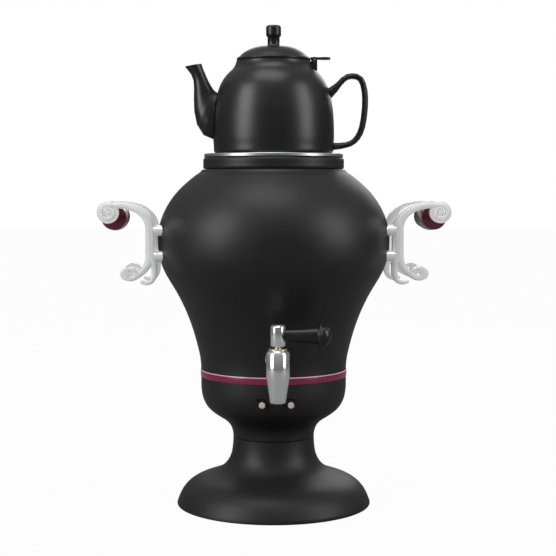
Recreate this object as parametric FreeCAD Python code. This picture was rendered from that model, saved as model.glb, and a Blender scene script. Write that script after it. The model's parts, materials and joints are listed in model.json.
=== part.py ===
import FreeCAD, Part
import math
import os

from FreeCAD import Vector

# Electric samovar with a teapot on top. The origin is the centre of the base on the table,
# +Z is up and the tap points to -Y. All sizes are in millimetres.

# Clearances
seat_gap = 0.1
run_gap = 0.05
slide_gap = 0.3
outline_miss = 0.4

# Heights of the outer sections, stacked from the table upwards
pad_stand = 1.5
foot_height = 68.0
bowl_depth = 61.5
light_band = 7.0
flare_rise = 84.0
belly_rise = 44.5
shoulder_rise = 70.0
collar_rise = 12.1
lid_band = 3.5

# Radii of the outer sections
foot_radius = 97.0
waist_radius = 40.5
ring_radius = 72.6
belly_radius = 115.3
neck_radius = 71.0
collar_radius = 69.9
flare_share = 0.663

# Walls
foot_wall = 2.2
bowl_wall = 2.2
body_wall = 1.2
pot_wall = 1.2

# Foot, base plate and the rubber ring under it
foot_edge_round = 1.5
foot_flange_radius = 20.0
flange_thickness = 4.0
base_plate_thickness = 2.5
base_plate_inset = 2.0
pad_width = 7.0
pad_inset = 12.0
base_screw_count = 4
base_screw_circle = 68.0
base_boss_radius = 4.5
base_screw_radius = 1.5
base_screw_length = 14.0
vent_count = 6
vent_length = 22.0
vent_width = 4.0
vent_circle = 44.0

# Tie rod that clamps foot, bowl and body together
rod_radius = 3.0
rod_nut_flats = 10.0
rod_nut_height = 5.0
clamp_plate_radius = 27.0
clamp_plate_thickness = 3.0
rod_tail = 4.0

# Lower bowl and what it carries
bowl_rim_height = 7.5
bowl_floor = 3.0
spigot_depth = 3.0
spigot_wall = 2.0
light_proud = 0.4
light_wall = 3.2
light_skirt = 4.0
light_lip = 2.5
ledge_width = 4.0
ledge_thickness = 1.6
board_drop = 9.0
board_width = 9.0
board_thickness = 1.6
led_count = 12
led_size = 3.0
led_height = 2.0

# Mains inlet at the back of the bowl
inlet_drop = 23.0
inlet_width = 28.0
inlet_height = 20.6
inlet_depth = 26.0
inlet_flange = 2.5
inlet_flange_thickness = 2.0
inlet_wall = 2.0
cavity_depth = 17.0
pad_margin = 2.0
pin_pitch = 7.0
pin_thickness = 2.0
pin_height = 4.0
pin_reach = 13.0
pin_tail = 8.0

# Push buttons at the front of the bowl
button_offset = 13.9
button_drop = 19.3
button_radius = 3.0
button_proud = 2.6
button_travel = 1.8
button_stem = 6.0
bezel_radius = 4.9
bezel_thickness = 1.6
barrel_radius = 4.0
switch_size = 11.0
switch_depth = 13.0
switch_nut_radius = 5.8
switch_nut_thickness = 2.5
barrel_reach = 9.0

# Tank floor and heater
floor_drop = 3.5
floor_thickness = 1.0
plate_radius = 58.0
plate_thickness = 5.0
plate_hub_radius = 8.0
plate_hub_depth = 9.0
element_circle = 44.0
element_radius = 3.3
element_sweep = 320.0
element_leg = 16.0
element_leg_inset = 4.5
element_pin_radius = 1.2
element_pin_length = 7.0
thermostat_circle = 26.0
thermostat_radius = 8.0
thermostat_height = 9.0
thermostat_cap = 1.5
terminal_length = 30.0
terminal_width = 12.0
terminal_height = 12.0
terminal_offset = 25.0
lead_radius = 1.2

# Collar and lid of the tank
tank_opening = 63.0
shell_neck_rise = 8.0
collar_lip = 3.5
collar_round = 3.0
lid_radius = 69.0
lid_plate = 1.2
lid_spigot_depth = 6.0
lid_dish_radius = 46.0
lid_dish_depth = 3.0
steam_hole_count = 10
steam_hole_radius = 3.0
steam_hole_circle = 32.0
lid_band_width = 4.0

# Tap
shank_rise = 19.0
tap_reach = 30.0
tap_radius = 11.1
tap_above = 11.0
tap_below = 14.0
nozzle_radius = 7.4
nozzle_drop = 24.0
nozzle_bore = 5.2
tap_shoulder = 2.5
shank_radius = 6.5
shank_bore = 4.0
flange_radius = 11.0
flange_width = 3.0
saddle_min = 2.0
tap_nut_radius = 9.0
tap_nut_thickness = 5.0
seal_min = 1.5
plug_radius = 7.0
plug_below = 9.0
plug_above = 7.0
plug_port = 3.6
stem_radius = 3.5
gland_radius = 8.6
gland_flange = 2.0
gland_depth = 3.0
packing_thickness = 1.4
cap_radius = 7.1
cap_gap = 2.2
cap_height = 19.9
cap_chamfer = 1.6
stem_grip = 13.0
lever_rise = 10.1
lever_root_radius = 6.3
lever_neck_radius = 7.7
lever_collar_radius = 12.0
lever_collar_at = 39.0
lever_collar_width = 3.0
lever_end = 49.4
stud_radius = 2.0
stud_length = 20.0

# Side handles: a bar, a sweep up to a volute, a leg and a scroll below, and a turned grip
arm_spread = 32.0
arm_thickness = 8.0
rib_proud = 1.3
rib_share = 0.45
bar_offset = 5.2
bar_width = 10.3
bar_up = 10.0
bar_down = 18.0
grip_out = 36.1
grip_up = 23.2
sweep_width = 6.0
volute_radius = 10.6
volute_out = 5.2
volute_up = 4.9
volute_turns = 1.4
eye_radius = 2.0
coil_width = 1.3
scroll_eye_radius = 3.2
leg_drop = 39.5
leg_width = 7.0
leg_tip_width = 3.2
scroll_out = 20.7
scroll_drop = 31.2
scroll_half_width = 7.6
scroll_half_height = 5.1
scroll_band = 5.0
boss_radius = 5.2
boss_pitch = 25.0
screw_radius = 2.4
screw_head_radius = 4.4
screw_head_height = 3.0
screw_bite = 6.5
handle_seal_radius = 6.0
handle_seal_min = 1.5
grip_radius = 13.3
grip_end_radius = 11.4
grip_bead_radius = 12.2
grip_bead_width = 2.4
bolt_radius = 3.0
bolt_bite = 4.5

# Teapot
pot_radius = 60.0
pot_foot_inset = 0.7
pot_foot_round = 3.6
pot_wide_rise = 18.0
pot_shoulder_rise = 73.0
pot_mouth_radius = 36.9
pot_mouth_bore = 32.0
pot_floor = 2.0
pot_recess_radius = 50.0
pot_recess_depth = 1.5
strainer_radius = 2.0
strainer_pitch = 8.0
spout_wall = 1.5
handle_half_thickness = 3.0
handle_half_width = 7.0
lid_rim_radius = 36.5
lid_rim_height = 4.0
lid_shell = 1.2
dome_rise = 10.5
dome_flat_radius = 9.0
lid_spigot = 4.0
knob_stem_radius = 6.0
knob_stem_height = 10.0
knob_head_radius = 7.5
knob_head_height = 11.0
knob_round = 2.4
knob_screw_radius = 1.6
hinge_out = 3.7
hinge_up = 1.6
knuckle_radius = 2.6
knuckle_width = 8.0
ear_width = 3.0
hinge_pin_radius = 1.1
tab_length = 16.0
tab_neck = 7.0
tab_width = 12.0
tab_thickness = 2.0

# Heights that follow from the stack
waist_z = pad_stand + foot_height
bowl_z = waist_z + bowl_depth
body_z = bowl_z + light_band
flare_z = body_z + flare_rise
belly_z = flare_z + belly_rise
neck_z = belly_z + shoulder_rise
collar_z = neck_z + collar_rise
pot_z = collar_z + lid_band
pot_wide_z = pot_z + pot_wide_rise
pot_mouth_z = pot_wide_z + pot_shoulder_rise
floor_z = body_z + light_lip + floor_drop + floor_thickness
plate_z = floor_z - floor_thickness - plate_thickness
flare_radius = ring_radius + flare_share * (belly_radius - ring_radius)
up = Vector(0, 0, 1)
origin = Vector(0, 0, 0)


def at(radius, height):
    return Vector(radius, 0, height)


def cubic(start, leave, arrive, end):
    """A smooth curve from start to end through two pull points."""
    curve = Part.BezierCurve()
    curve.setPoles([start, leave, arrive, end])
    return curve


def arc_from(start, along, end):
    """The arc that leaves start in a direction and reaches end."""
    chord = end - start
    across = chord - along * chord.dot(along)
    if across.Length < 1e-4 * chord.Length:
        return Part.LineSegment(start, end)
    square = across * (1 / across.Length)
    radius = chord.Length ** 2 / (2 * chord.dot(square))
    centre = start + square * radius
    middle = (start + end) * 0.5 - centre
    bulge = middle * (radius / middle.Length)
    if (centre + bulge - start).dot(along) < 0:
        bulge = bulge * -1
    return Part.Arc(start, centre + bulge, end)


def smooth_arcs(start, leave, end, arrive):
    """Two arcs in one line with each other from start to end."""
    span = end - start
    both = leave + arrive
    spread = 2 * (1 - leave.dot(arrive))
    if spread < 1e-9:
        reach = span.dot(span) / (4 * span.dot(leave))
    else:
        reach = (math.sqrt(span.dot(both) ** 2 + spread * span.dot(span)) - span.dot(both)) / spread
    meet = (start + end + (leave - arrive) * reach) * 0.5
    first = arc_from(start, leave, meet)
    second = arc_from(end, arrive * -1, meet)
    second.reverse()
    return [first, second]


def beside(curve, distance):
    """The curve as arcs in line with each other, moved inwards by a distance."""
    knots = fitted_places(curve, curve.FirstParameter, curve.LastParameter)
    ends = []
    for t in knots:
        along = curve.tangent(t)[0]
        ends.append((curve.value(t) + Vector(-along.z, 0, along.x) * distance, along))
    arcs = []
    for (start, leave), (end, arrive) in zip(ends, ends[1:]):
        arcs.extend(smooth_arcs(start, leave, end, arrive))
    return arcs


def fitted_places(curve, low, high):
    """Where the curve is split, so that a pair of arcs in each span keeps close to it."""
    arcs = smooth_arcs(curve.value(low), curve.tangent(low)[0], curve.value(high), curve.tangent(high)[0])
    pair = Part.Wire([arc.toShape() for arc in arcs])
    misses = [pair.distToShape(Part.Vertex(curve.value(low + (high - low) * share)))[0]
              for share in (0.25, 0.5, 0.75)]
    if max(misses) < outline_miss:
        return [low, high]
    middle = (low + high) / 2
    return fitted_places(curve, low, middle) + fitted_places(curve, middle, high)[1:]


def chain(parts):
    """Curves and corner points joined in order into one closed wire."""
    edges = []
    last = None
    first = None
    flat = []
    for part in parts:
        flat.extend(part if isinstance(part, list) else [part])
    for part in flat:
        if isinstance(part, Vector):
            start, end, edge = part, part, None
        else:
            edge = part.toShape()
            start = part.value(part.FirstParameter)
            end = part.value(part.LastParameter)
        if last is not None and start.distanceToPoint(last) > 1e-6:
            edges.append(Part.makeLine(last, start))
        if edge is not None:
            edges.append(edge)
        if first is None:
            first = start
        last = end
    if last.distanceToPoint(first) > 1e-6:
        edges.append(Part.makeLine(last, first))
    return Part.Wire(edges)


def start_of(arcs):
    return arcs[0].value(arcs[0].FirstParameter)


def end_of(arcs):
    return arcs[-1].value(arcs[-1].LastParameter)


def turned(*parts):
    """A solid of revolution about the vertical axis."""
    return Part.Face(chain(parts)).revolve(origin, up, 360)


def turned_about(centre, axis, side, profile):
    """A solid turned about any axis from pairs of (distance along, radius)."""
    points = [centre + axis * along + side * radius for along, radius in profile]
    face = Part.Face(Part.makePolygon(points + points[:1]))
    return face.revolve(centre, axis, 360)


def rod(radius, start, end):
    """A round bar from one point to another."""
    run = end - start
    return Part.makeCylinder(radius, run.Length, start, run)


def ring(inner, outer, low, high):
    """A flat or tall ring about the vertical axis."""
    return rod(outer, at(0, low), at(0, high)).cut(rod(inner, at(0, low), at(0, high)))


def block(x_low, x_high, y_low, y_high, z_low, z_high):
    return Part.makeBox(x_high - x_low, y_high - y_low, z_high - z_low, Vector(x_low, y_low, z_low))


def around(shape, count, start=0.0):
    """Copies of a shape spaced evenly about the vertical axis."""
    copies = []
    for index in range(count):
        copy = shape.copy()
        copy.rotate(origin, up, start + 360.0 * index / count)
        copies.append(copy)
    return copies


def mirrored(shape):
    return shape.mirror(origin, Vector(1, 0, 0))


def radius_at(curves, height):
    """Outer radius of a rising profile at a height."""
    arcs = [arc for curve in curves for arc in beside(curve, 0)]
    for arc in arcs:
        low = arc.FirstParameter
        high = arc.LastParameter
        if arc.value(low).z > arc.value(high).z:
            low, high = high, low
        if arc.value(low).z <= height <= arc.value(high).z:
            for halving in range(40):
                middle = (low + high) / 2
                if arc.value(middle).z < height:
                    low = middle
                else:
                    high = middle
            return arc.value(low).x
    ends = [start_of(arcs), end_of(arcs)]
    return min(ends, key=lambda point: abs(point.z - height)).x


def solid_inside(curves, inset):
    """Everything inside a profile that is moved inwards, or outwards when negative."""
    moved = [beside(curve, inset) for curve in curves]
    return turned(*moved, at(0, end_of(moved[-1]).z), at(0, start_of(moved[0]).z))


# Outer profiles
foot_start = at(foot_radius, pad_stand + foot_edge_round)
foot_run = waist_z - foot_start.z
foot_curve = cubic(
    foot_start,
    at(foot_radius - 0.21 * (foot_radius - waist_radius), foot_start.z + 0.655 * foot_run),
    at(waist_radius, waist_z - 0.82 * foot_run),
    at(waist_radius, waist_z),
)
bowl_top_z = bowl_z - bowl_rim_height
bowl_run = bowl_top_z - waist_z
bowl_curve = cubic(
    at(waist_radius, waist_z),
    at(waist_radius, waist_z + 0.51 * bowl_run),
    at(ring_radius, bowl_top_z - 0.73 * bowl_run),
    at(ring_radius, bowl_top_z),
)
flare_lean = Vector(flare_radius - ring_radius, 0, 0.54 * flare_rise)
flare_curve = cubic(
    at(ring_radius, body_z),
    at(ring_radius, body_z + 0.1 * flare_rise),
    at(flare_radius, flare_z) - flare_lean * 0.8,
    at(flare_radius, flare_z),
)
belly_curve = cubic(
    at(flare_radius, flare_z),
    at(flare_radius, flare_z) + flare_lean * 0.31,
    at(belly_radius, belly_z - 0.45 * belly_rise),
    at(belly_radius, belly_z),
)
shoulder_curve = cubic(
    at(belly_radius, belly_z),
    at(belly_radius, belly_z + 0.63 * shoulder_rise),
    at(neck_radius + 0.065 * (belly_radius - neck_radius), neck_z - 0.069 * shoulder_rise),
    at(neck_radius, neck_z),
)
body_curves = [flare_curve, belly_curve, shoulder_curve]
pot_side_radius = pot_radius - pot_foot_inset
pot_foot_arc = Part.Arc(
    at(pot_side_radius - pot_foot_round, pot_z),
    at(pot_side_radius - pot_foot_round * (1 - math.sqrt(0.5)), pot_z + pot_foot_round * (1 - math.sqrt(0.5))),
    at(pot_side_radius, pot_z + pot_foot_round),
)
pot_low_curve = cubic(
    at(pot_side_radius, pot_z + pot_foot_round),
    at(pot_side_radius, pot_z + 0.4 * pot_wide_rise),
    at(pot_radius, pot_z + 0.7 * pot_wide_rise),
    at(pot_radius, pot_wide_z),
)
pot_high_curve = cubic(
    at(pot_radius, pot_wide_z),
    at(pot_radius, pot_wide_z + 0.907 * pot_shoulder_rise),
    at(pot_mouth_radius + 0.134 * (pot_radius - pot_mouth_radius), pot_mouth_z - 0.208 * pot_shoulder_rise),
    at(pot_mouth_radius, pot_mouth_z),
)
pot_curves = [pot_low_curve, pot_high_curve]


# Foot
def make_foot():
    inner = beside(foot_curve, foot_wall)
    inner_low = start_of(inner)
    ceiling = waist_z - flange_thickness
    outer_round = Part.Arc(
        at(foot_radius - foot_edge_round, pad_stand),
        at(foot_radius - foot_edge_round * (1 - math.sqrt(0.5)), pad_stand + foot_edge_round * (1 - math.sqrt(0.5))),
        foot_start,
    )
    shell = turned(outer_round, beside(foot_curve, 0), at(0, waist_z), at(0, pad_stand))
    hollow = turned(at(inner_low.x, pad_stand), inner, at(0, waist_z), at(0, pad_stand))
    hollow = hollow.common(rod(foot_radius, at(0, pad_stand), at(0, ceiling)))
    boss = rod(base_boss_radius, at(base_screw_circle, base_plate_top), at(base_screw_circle, ceiling))
    boss = boss.common(solid_inside([foot_curve], foot_wall / 2))
    pilot = rod(base_screw_radius + run_gap, at(base_screw_circle, base_plate_top),
                at(base_screw_circle, base_plate_top + base_screw_length))
    foot = shell.cut(hollow).cut(rod(foot_flange_radius, at(0, ceiling), at(0, waist_z)))
    return foot.fuse(around(boss, base_screw_count, 45)).cut(around(pilot, base_screw_count, 45))


base_plate_low = pad_stand + base_plate_inset
base_plate_top = base_plate_low + base_plate_thickness


def make_base_plate():
    radius = radius_at([foot_curve], base_plate_top) - foot_wall - 2 * slide_gap
    plate = rod(radius, at(0, base_plate_low), at(0, base_plate_top))
    slot = block(vent_circle - vent_length / 2, vent_circle + vent_length / 2,
                 -vent_width / 2, vent_width / 2, base_plate_low, base_plate_top)
    hole = rod(base_screw_radius + slide_gap, at(base_screw_circle, base_plate_low),
               at(base_screw_circle, base_plate_top))
    sink = Part.makeCone(2 * base_screw_radius + run_gap, base_screw_radius + run_gap, base_screw_radius,
                         at(base_screw_circle, base_plate_low), up)
    return plate.cut(around(slot, vent_count)).cut(around(hole.fuse(sink), base_screw_count, 45))


def make_base_screw():
    head = Part.makeCone(2 * base_screw_radius, base_screw_radius, base_screw_radius,
                         at(base_screw_circle, base_plate_low), up)
    shaft = rod(base_screw_radius, at(base_screw_circle, base_plate_low + base_screw_radius),
                at(base_screw_circle, base_plate_top + base_screw_length - 1))
    return Part.makeCompound(around(head.fuse(shaft), base_screw_count, 45))


def make_rubber_ring():
    outer = foot_radius - pad_inset
    return ring(outer - pad_width, outer, 0, base_plate_low)


# Tie rod
clamp_plate_z = waist_z - flange_thickness
rod_nut_z = clamp_plate_z - clamp_plate_thickness
rod_low = rod_nut_z - rod_nut_height - rod_tail
rod_top = plate_z - run_gap


def make_tie_rod():
    return rod(rod_radius, at(0, rod_low), at(0, rod_top))


def make_clamp_plate():
    return ring(rod_radius + slide_gap, clamp_plate_radius, rod_nut_z, clamp_plate_z)


def hexagon(flats, low, high):
    corners = [Vector(flats / math.sqrt(3), 0, low)]
    for index in range(6):
        turn = math.radians(60 * (index + 1))
        corners.append(Vector(flats / math.sqrt(3) * math.cos(turn), flats / math.sqrt(3) * math.sin(turn), low))
    corners[-1] = corners[0]
    return Part.Face(Part.makePolygon(corners)).extrude(Vector(0, 0, high - low))


def make_rod_nut():
    nut = hexagon(rod_nut_flats, rod_nut_z - rod_nut_height, rod_nut_z)
    return nut.cut(rod(rod_radius + run_gap, at(0, rod_low), at(0, rod_top)))


# Lower bowl with the light band and its board
inlet_z = bowl_z - inlet_drop
inlet_face = ring_radius + 0.6
button_z = bowl_z - button_drop
button_face = -math.sqrt(ring_radius ** 2 - (button_offset - bezel_radius) ** 2) - seat_gap
board_z = bowl_z - board_drop


def inlet_block(grow, y_low, y_high):
    """The rectangle of the inlet, grown on all four sides."""
    return block(-inlet_width / 2 - grow, inlet_width / 2 + grow, y_low, y_high,
                 inlet_z - inlet_height / 2 - grow, inlet_z + inlet_height / 2 + grow)


def make_bowl():
    rim = at(ring_radius, bowl_z)
    shell = turned(beside(bowl_curve, 0), rim, at(0, bowl_z), at(0, waist_z))
    inner = beside(bowl_curve, bowl_wall)
    inner_top = end_of(inner)
    hollow = turned(inner, at(inner_top.x, bowl_z), at(0, bowl_z), at(0, waist_z))
    hollow = hollow.common(rod(belly_radius, at(0, waist_z + bowl_floor), at(0, bowl_z)))
    bowl = shell.cut(hollow)
    ledge = ring(ring_radius - bowl_wall - ledge_width, ring_radius - bowl_wall / 2,
                 board_z - ledge_thickness, board_z)
    spigot = ring(foot_flange_radius - seat_gap - spigot_wall, foot_flange_radius - seat_gap,
                  waist_z - spigot_depth, waist_z)
    pad = inlet_block(inlet_flange + pad_margin, ring_radius / 2, inlet_face)
    pad = pad.cut(solid_inside([bowl_curve], bowl_wall / 2))
    bowl = bowl.fuse([ledge, spigot, pad])
    bowl = bowl.cut(inlet_block(seat_gap, ring_radius / 2, inlet_face))
    bowl = bowl.cut(rod(rod_radius + slide_gap, at(0, waist_z - spigot_depth), at(0, bowl_z)))
    for side in (-1, 1):
        hole = rod(barrel_radius + seat_gap, Vector(side * button_offset, -2 * ring_radius, button_z),
                   Vector(side * button_offset, -ring_radius / 2, button_z))
        spot = rod(bezel_radius + seat_gap, Vector(side * button_offset, -2 * ring_radius, button_z),
                   Vector(side * button_offset, bezel_back, button_z))
        bowl = bowl.cut(hole.fuse(spot))
    return bowl


bezel_back = -math.sqrt(ring_radius ** 2 - (button_offset + bezel_radius) ** 2) + 0.4
bezel_front = button_face - 0.3


def make_light_ring():
    inner = ring_radius - bowl_wall - seat_gap - light_wall + bowl_wall
    skirt = ring(inner - bowl_wall, ring_radius - bowl_wall - seat_gap, bowl_z - light_skirt, bowl_z)
    band = ring(inner - bowl_wall, ring_radius + light_proud, bowl_z, body_z)
    lip = ring(inner - bowl_wall, ring_radius - body_wall - seat_gap, body_z, body_z + light_lip)
    return band.fuse([skirt, lip]).removeSplitter()


def make_board():
    outer = ring_radius - bowl_wall - slide_gap
    board = ring(outer - board_width, outer, board_z, board_z + board_thickness)
    notch = block(-inlet_width / 2 - inlet_flange, inlet_width / 2 + inlet_flange,
                  outer - board_width - 1, outer + 1, board_z, board_z + board_thickness)
    return board.cut(notch) if inlet_z + inlet_height / 2 > board_z else board


def make_leds():
    top = board_z + board_thickness
    place = ring_radius - bowl_wall - light_wall / 2
    led = block(place - led_size / 2, place + led_size / 2, -led_size / 2, led_size / 2, top, top + led_height)
    return Part.makeCompound(around(led, led_count, 15))


# Mains inlet
def make_inlet():
    body = inlet_block(0, inlet_face - inlet_depth, inlet_face)
    flange = inlet_block(inlet_flange, inlet_face, inlet_face + inlet_flange_thickness)
    cavity = inlet_block(-inlet_wall, inlet_face - cavity_depth, inlet_face + inlet_flange_thickness)
    inlet = body.fuse(flange).removeSplitter().cut(cavity)
    return inlet.cut([pin_shape(index, run_gap) for index in (-1, 0, 1)])


def pin_shape(index, grow):
    middle = index * pin_pitch
    low = inlet_face - inlet_depth - pin_tail
    high = inlet_face - cavity_depth + pin_reach
    drop = -2.0 if index == 0 else 2.0
    return block(middle - pin_thickness / 2 - grow, middle + pin_thickness / 2 + grow, low, high,
                 inlet_z + drop - pin_height / 2 - grow, inlet_z + drop + pin_height / 2 + grow)


def make_inlet_pins():
    return Part.makeCompound([pin_shape(index, 0) for index in (-1, 0, 1)])


# Push buttons
def make_switch(side):
    x = side * button_offset
    front = Vector(x, bezel_front, button_z)
    back = Vector(x, bezel_back, button_z)
    inside = Vector(x, bezel_back + barrel_reach, button_z)
    body = block(x - switch_size / 2, x + switch_size / 2, inside.y, inside.y + switch_depth,
                 button_z - switch_size / 2, button_z + switch_size / 2)
    switch = rod(bezel_radius, front, back).fuse([rod(barrel_radius, back, inside), body])
    well = rod(button_radius + run_gap, front, Vector(x, front.y + button_stem + button_travel, button_z))
    return switch.cut(well)


def make_switch_nut(side):
    x = side * button_offset
    start = bezel_back + barrel_reach - switch_nut_thickness - seat_gap
    low = Vector(x, start, button_z)
    high = Vector(x, start + switch_nut_thickness, button_z)
    return rod(switch_nut_radius, low, high).cut(rod(barrel_radius + run_gap, low, high))


def make_button(side):
    x = side * button_offset
    tip = bezel_front - button_proud
    cap = rod(button_radius, Vector(x, tip, button_z), Vector(x, bezel_front + button_stem, button_z))
    return cap.makeChamfer(0.6, [edge for edge in cap.Edges
                                 if edge.BoundBox.YMax < tip + 0.01 and edge.BoundBox.XLength > 1])


# Body shell, tank floor and heater
def make_body():
    neck = at(tank_opening + body_wall, neck_z)
    top = neck_z + shell_neck_rise
    outer = turned(*[beside(curve, 0) for curve in body_curves], neck, at(neck.x, top), at(0, top), at(0, body_z))
    inner = [beside(curve, body_wall) for curve in body_curves]
    last = end_of(inner[-1])
    hollow = turned(*inner, at(tank_opening, last.z), at(tank_opening, top + 1), at(0, top + 1),
                    at(0, body_z - 1), at(ring_radius - body_wall, body_z - 1))
    body = outer.cut(hollow)
    hole = rod(shank_radius + run_gap, Vector(0, tap_y, shank_z), Vector(0, -ring_radius / 2, shank_z))
    body = body.cut(hole)
    for shape in handle_screw_places(screw_radius + run_gap):
        body = body.cut(shape)
    return body


def make_collar():
    low = neck_z
    sleeve = tank_opening + body_wall + seat_gap
    lip_z = neck_z + shell_neck_rise + seat_gap
    outer = Part.Arc(
        at(collar_radius, collar_z - collar_round),
        at(collar_radius - collar_round * (1 - math.sqrt(0.5)), collar_z - collar_round * (1 - math.sqrt(0.5))),
        at(collar_radius - collar_round, collar_z),
    )
    under = Part.Arc(
        at(collar_radius - 0.8, low + 0.6),
        at(collar_radius, low + 2.6),
        at(collar_radius - 0.1, low + 4.6),
    )
    return turned(at(sleeve, low + 0.6), under, at(collar_radius, low + 5.6), outer,
                  at(tank_opening, collar_z), at(tank_opening, lip_z), at(sleeve, lip_z))


def make_tank_floor():
    outer = ring_radius - body_wall - seat_gap
    low = floor_z - floor_thickness - floor_drop + seat_gap
    return turned(at(outer, low), at(outer, floor_z - 1.5), at(outer - 1.5, floor_z), at(0, floor_z),
                  at(0, floor_z - floor_thickness), at(outer - 2, floor_z - floor_thickness),
                  at(outer - floor_thickness, floor_z - 2), at(outer - floor_thickness, low))


element_z = plate_z - element_radius - seat_gap


def make_heater_plate():
    plate = rod(plate_radius, at(0, plate_z), at(0, floor_z - floor_thickness))
    hub = ring(rod_radius + run_gap, plate_hub_radius, plate_z - plate_hub_depth, plate_z)
    return plate.fuse(hub).removeSplitter()


def make_element():
    tube = Part.makeCircle(element_radius, at(element_circle, element_z), Vector(0, 1, 0))
    coil = Part.Face(Part.Wire(tube)).revolve(origin, up, element_sweep)
    shape = coil
    for degrees in (element_leg_inset, element_sweep - element_leg_inset):
        turn = math.radians(degrees)
        place = Vector(element_circle * math.cos(turn), element_circle * math.sin(turn), element_z)
        foot = place - up * element_leg
        shape = shape.fuse([rod(element_radius * 0.9, place, foot),
                            rod(element_pin_radius, foot, foot - up * element_pin_length)])
    shape.rotate(origin, up, 110)
    return shape


def make_thermostat(angle, radius, height):
    low = plate_z - height
    body = rod(radius, at(thermostat_circle, low), at(thermostat_circle, plate_z - thermostat_cap))
    cap = rod(radius + 1.5, at(thermostat_circle, plate_z - thermostat_cap), at(thermostat_circle, plate_z))
    tags = [block(thermostat_circle - 0.4, thermostat_circle + 0.4, side * 4 - 2, side * 4 + 2, low - 6, low)
            for side in (-1, 1)]
    shape = body.fuse([cap] + tags)
    shape.rotate(origin, up, angle)
    return shape


def make_terminal_block():
    low = waist_z + bowl_floor
    body = block(-terminal_length / 2, terminal_length / 2, -terminal_offset - terminal_width / 2,
                 -terminal_offset + terminal_width / 2, low, low + terminal_height)
    holes = []
    for index in (-1, 0, 1):
        x = index * terminal_length / 3
        holes.append(rod(1.8, Vector(x, -terminal_offset, low + terminal_height / 2),
                         Vector(x, -terminal_offset, low + terminal_height)))
    return body.cut(holes)


# Tap
shank_z = body_z + shank_rise
shank_wall = radius_at(body_curves, shank_z)
tap_y = -(shank_wall + tap_reach)
tap_top = shank_z + tap_above
nozzle_top = shank_z - tap_below
nozzle_low = nozzle_top - nozzle_drop
plug_low = shank_z - plug_below
plug_top = shank_z + plug_above
gland_top = tap_top + gland_flange
cap_low = gland_top + cap_gap
cap_top = cap_low + cap_height
lever_z = cap_low + lever_rise
tap_axis = Vector(0, tap_y, 0)
saddle_face = -(radius_at(body_curves, shank_z + flange_radius) + saddle_min)
shank_end = -(radius_at(body_curves, shank_z - tap_nut_radius) - body_wall) + 2 * seal_min + tap_nut_thickness + 3


def tap_turned(profile):
    """Turned about the tap's own upright axis, from (height, radius) pairs."""
    return turned_about(tap_axis, up, Vector(1, 0, 0), profile)


def make_tap_body():
    body = tap_turned([
        (nozzle_low, 0), (nozzle_low, nozzle_radius - 0.6), (nozzle_low + 0.6, nozzle_radius),
        (nozzle_top, tap_radius), (tap_top - tap_shoulder, tap_radius), (tap_top, tap_radius - 1.5), (tap_top, 0)])
    shank = rod(shank_radius, Vector(0, tap_y, shank_z), Vector(0, shank_end, shank_z))
    flange = rod(flange_radius, Vector(0, saddle_face - flange_width, shank_z), Vector(0, saddle_face, shank_z))
    body = body.fuse([shank, flange])
    bore = tap_turned([
        (nozzle_low, 0), (nozzle_low, nozzle_bore), (plug_low - 0.3, nozzle_bore),
        (plug_low - 0.3, plug_radius + run_gap), (gland_floor, plug_radius + run_gap),
        (gland_floor, gland_radius - 1.5), (tap_top, gland_radius - 1.5), (tap_top, 0)])
    way = rod(shank_bore, Vector(0, tap_y, shank_z), Vector(0, shank_end, shank_z))
    return body.cut([bore, way])


gland_floor = tap_top - gland_depth


def make_saddle():
    """Wedge that fits the flat tap flange to the curved wall."""
    pad = rod(flange_radius, Vector(0, saddle_face, shank_z), Vector(0, -ring_radius / 2, shank_z))
    pad = pad.cut(solid_inside(body_curves, -seat_gap))
    return pad.cut(rod(shank_radius + run_gap, Vector(0, tap_y, shank_z), Vector(0, 0, shank_z)))


inner_seal_face = -(radius_at(body_curves, shank_z - tap_nut_radius) - body_wall
                    - tap_nut_radius ** 2 / (2 * shank_wall)) + seal_min


def make_inner_seal():
    pad = rod(tap_nut_radius, Vector(0, -2 * ring_radius, shank_z), Vector(0, inner_seal_face, shank_z))
    pad = pad.common(solid_inside(body_curves, body_wall + seat_gap))
    return pad.cut(rod(shank_radius + run_gap, Vector(0, tap_y, shank_z), Vector(0, 0, shank_z)))


def make_tap_nut():
    nut = hexagon(2 * tap_nut_radius * 0.88, 0, tap_nut_thickness)
    nut.rotate(origin, Vector(1, 0, 0), -90)
    nut.translate(Vector(0, inner_seal_face, shank_z))
    return nut.cut(rod(shank_radius + run_gap, Vector(0, tap_y, shank_z), Vector(0, 0, shank_z)))


def make_plug():
    plug = tap_turned([(plug_low, 0), (plug_low, plug_radius), (plug_top, plug_radius),
                       (plug_top, stem_radius), (cap_low + stem_grip, stem_radius), (cap_low + stem_grip, 0)])
    down = rod(plug_port, Vector(0, tap_y, plug_low), Vector(0, tap_y, shank_z))
    across = rod(plug_port, Vector(0, tap_y, shank_z), Vector(-2 * plug_radius, tap_y, shank_z))
    return plug.cut(down.fuse([across, Part.makeSphere(plug_port, Vector(0, tap_y, shank_z))]))


def make_packing():
    return tap_turned([(plug_top + slide_gap, stem_radius + run_gap), (plug_top + slide_gap, plug_radius - run_gap),
                       (gland_floor - seat_gap, plug_radius - run_gap), (gland_floor - seat_gap, stem_radius + run_gap)])


def make_gland():
    return tap_turned([
        (gland_floor, stem_radius + run_gap), (gland_floor, gland_radius - 1.5 - run_gap),
        (tap_top, gland_radius - 1.5 - run_gap), (tap_top, gland_radius), (gland_top, gland_radius),
        (gland_top, stem_radius + run_gap)])


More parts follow.
